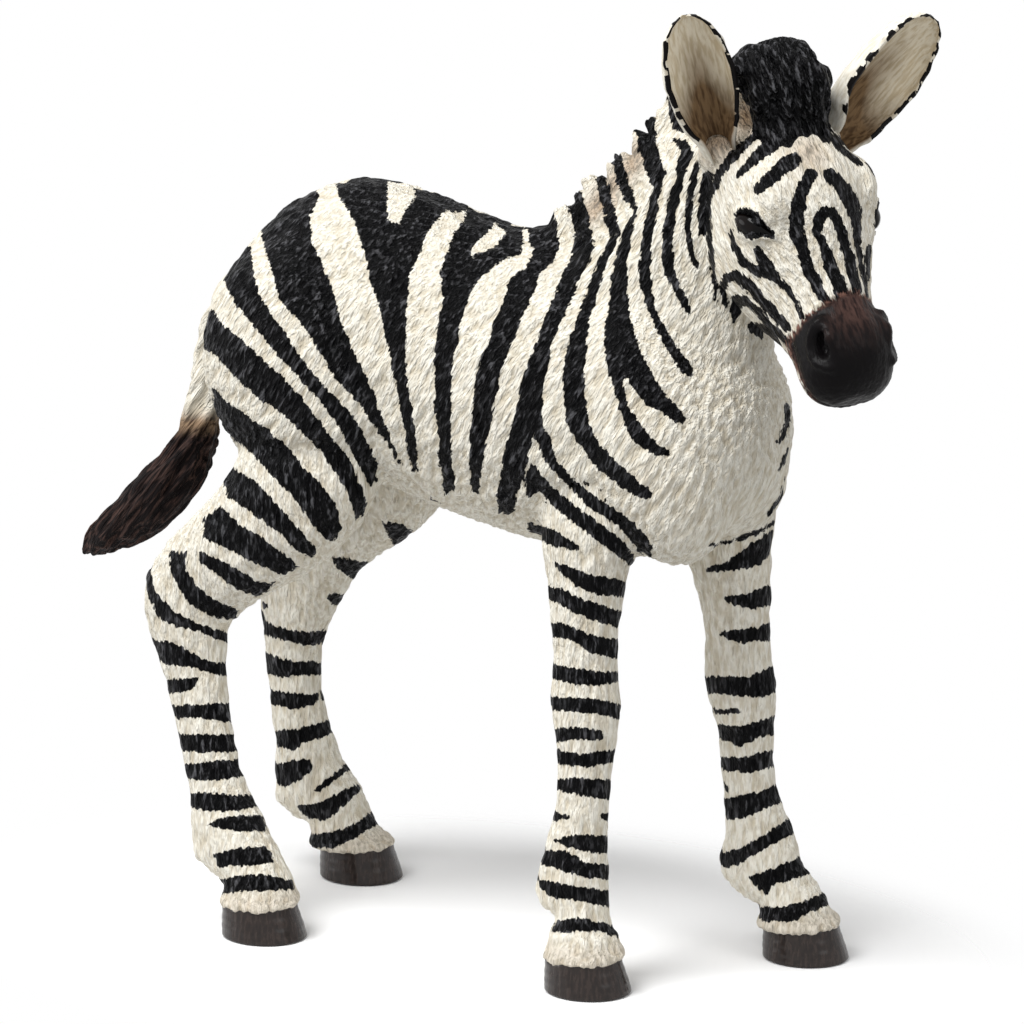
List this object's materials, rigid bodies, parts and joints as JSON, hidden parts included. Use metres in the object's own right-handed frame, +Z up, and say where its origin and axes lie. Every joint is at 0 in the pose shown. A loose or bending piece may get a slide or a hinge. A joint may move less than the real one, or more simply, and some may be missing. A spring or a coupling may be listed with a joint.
{
  "type": "toy zebra foal figure",
  "caption": "Standing toy zebra foal in moulded vinyl: head turned to its right, tufted upright mane, cupped ears, hanging tail, and flat-soled hooves in a walking stance.",
  "frame": {"origin": "on the ground under the middle of the figure's box, so that the soles lie in the plane z = 0", "axes": "+X the way the foal walks, +Y to its left, +Z up"},
  "size_m": [0.0686, 0.0216, 0.0698],
  "materials": {
    "painted_coat": "solid vinyl, hand painted cream and black in satin matte paint",
    "painted_tail": "solid vinyl, hand painted dark brown to black in satin matte paint"
  },
  "bodies": {
    "root": {"torso": "painted_coat", "head": "painted_coat", "ear_right": "painted_coat", "ear_left": "painted_coat", "tail": "painted_tail", "fore_leg_right": "painted_coat", "fore_leg_left": "painted_coat", "hind_leg_right": "painted_coat", "hind_leg_left": "painted_coat"}
  },
  "joints": []
}
